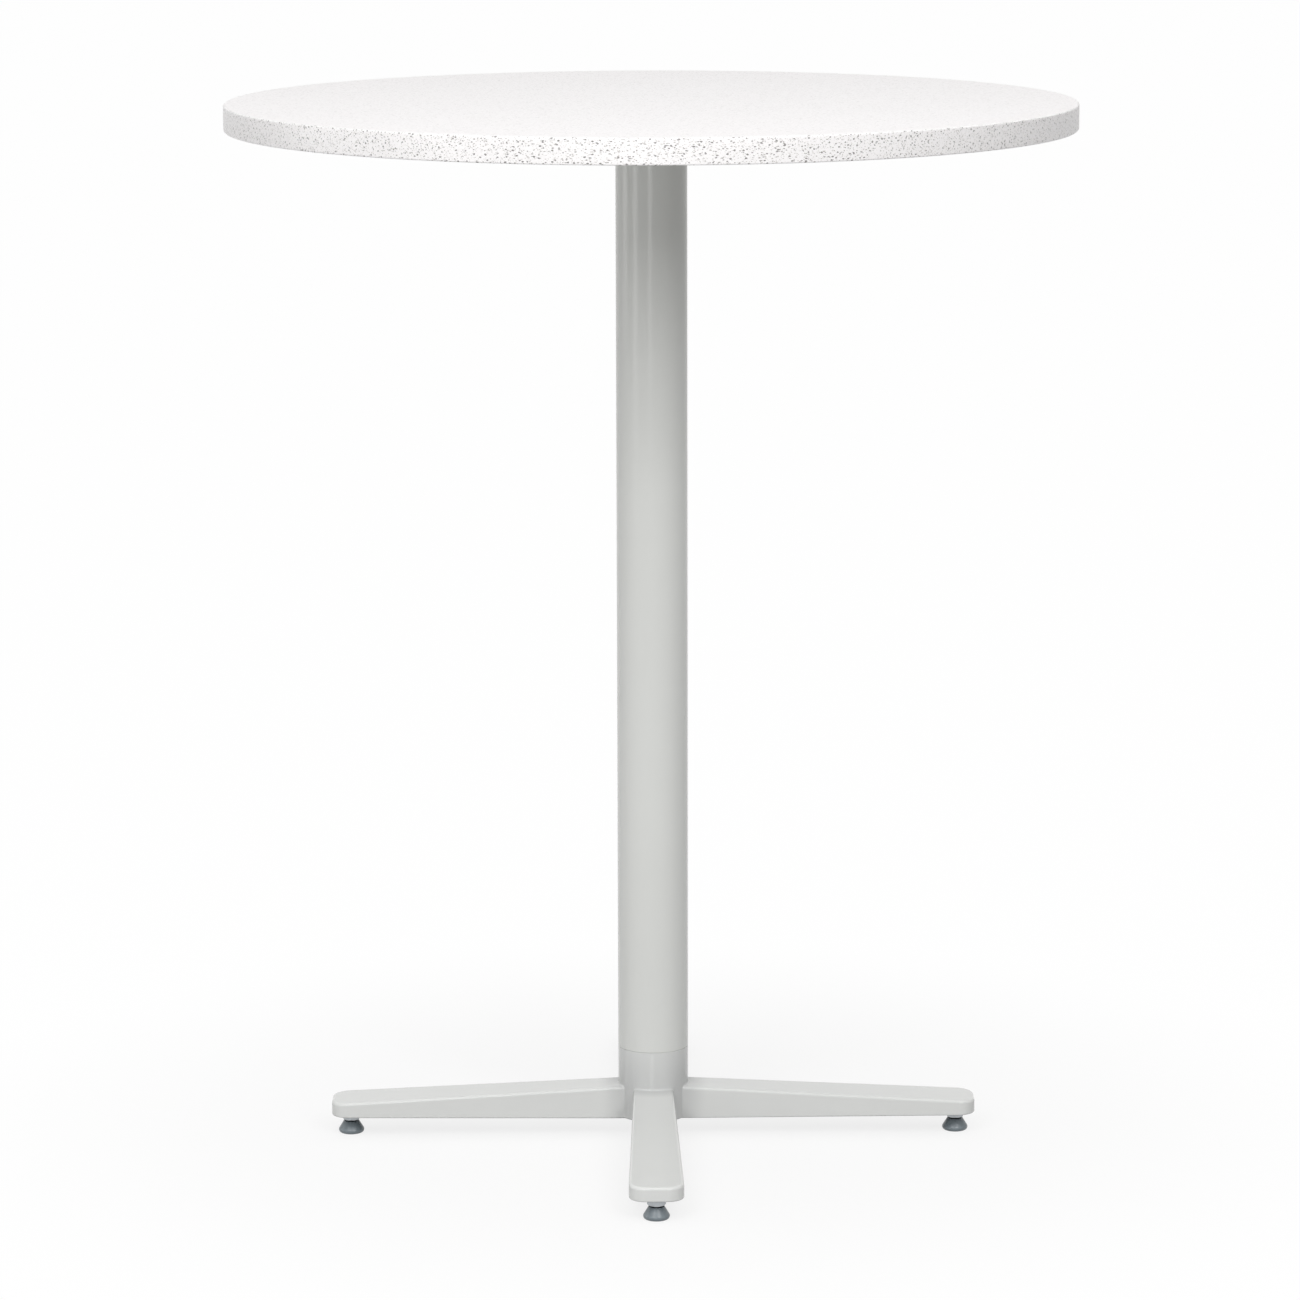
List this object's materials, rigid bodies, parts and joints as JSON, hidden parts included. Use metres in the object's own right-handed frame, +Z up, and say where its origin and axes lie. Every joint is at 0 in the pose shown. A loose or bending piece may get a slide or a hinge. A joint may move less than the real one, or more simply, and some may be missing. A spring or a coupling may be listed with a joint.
{
  "type": "standing-height round pedestal table",
  "caption": "Round speckled-white tabletop on a straight painted column and a flat cast cross base with flared legs and screw-in levelling feet, at standing height.",
  "frame": {"origin": "on the floor under the column axis, at the middle of the foot pads' lower faces", "axes": "+Z up along the column, -Y towards the viewer's leg, legs along +X, -X, +Y and -Y"},
  "size_m": [0.8999, 0.9, 1.123],
  "materials": {
    "speckled_laminate": "satin high-pressure laminate with fine grey specks",
    "speckled_edge_band": "satin edge band with fine grey specks",
    "backing_sheet": "plain matt balancing laminate",
    "particleboard": "raw pressed chips",
    "cast_paint": "satin light grey powder coat on cast aluminium",
    "tube_paint": "satin light grey powder coat on steel tube",
    "zinc_steel": "bright zinc plate",
    "stem_zinc": "bright zinc plate",
    "insert_brass": "plain machined brass",
    "pad_plastic": "moulded dark grey polyamide, soft sheen"
  },
  "bodies": {
    "table": {"tabletop_core": "particleboard", "top_laminate": "speckled_laminate", "backing_laminate": "backing_sheet", "edge_band": "speckled_edge_band", "threaded_inserts": "insert_brass", "top_spider": "cast_paint", "spider_screws": "zinc_steel", "spider_washers": "zinc_steel", "column_tube": "tube_paint", "tie_rod": "zinc_steel", "tie_rod_top_washer": "zinc_steel", "tie_rod_top_nut": "zinc_steel", "tie_rod_bottom_washer": "zinc_steel", "tie_rod_bottom_nut": "zinc_steel", "base_casting": "cast_paint"},
    "pad_front": {"foot_pad_front": "pad_plastic"},
    "stem_front": {"foot_stem_front": "stem_zinc"},
    "pad_right": {"foot_pad_right": "pad_plastic"},
    "stem_right": {"foot_stem_right": "stem_zinc"},
    "pad_back": {"foot_pad_back": "pad_plastic"},
    "stem_back": {"foot_stem_back": "stem_zinc"},
    "pad_left": {"foot_pad_left": "pad_plastic"},
    "stem_left": {"foot_stem_left": "stem_zinc"}
  },
  "joints": [
    {"name": "foot_front_extend", "type": "slide", "parent": "table", "child": "pad_front", "axis": [0, 0, -1], "range_m": [0, 0.0075]},
    {"name": "foot_front_turn", "type": "hinge", "parent": "pad_front", "child": "stem_front", "pos_m": [0, -0.33, 0.0147], "axis": [0, 0, -1], "range_deg": [0, 1801]},
    {"name": "foot_right_extend", "type": "slide", "parent": "table", "child": "pad_right", "axis": [0, 0, -1], "range_m": [0, 0.0075]},
    {"name": "foot_right_turn", "type": "hinge", "parent": "pad_right", "child": "stem_right", "pos_m": [0.33, 0, 0.0147], "axis": [0, 0, -1], "range_deg": [0, 1801]},
    {"name": "foot_back_extend", "type": "slide", "parent": "table", "child": "pad_back", "axis": [0, 0, -1], "range_m": [0, 0.0075]},
    {"name": "foot_back_turn", "type": "hinge", "parent": "pad_back", "child": "stem_back", "pos_m": [0, 0.33, 0.0147], "axis": [0, 0, -1], "range_deg": [0, 1801]},
    {"name": "foot_left_extend", "type": "slide", "parent": "table", "child": "pad_left", "axis": [0, 0, -1], "range_m": [0, 0.0075]},
    {"name": "foot_left_turn", "type": "hinge", "parent": "pad_left", "child": "stem_left", "pos_m": [-0.33, 0, 0.0147], "axis": [0, 0, -1], "range_deg": [0, 1801]}
  ],
  "couplings": [
    {"joint": "foot_front_turn", "follows": "foot_front_extend", "rad_per_m": 4188.8},
    {"joint": "foot_right_turn", "follows": "foot_right_extend", "rad_per_m": 4188.8},
    {"joint": "foot_back_turn", "follows": "foot_back_extend", "rad_per_m": 4188.8},
    {"joint": "foot_left_turn", "follows": "foot_left_extend", "rad_per_m": 4188.8}
  ]
}
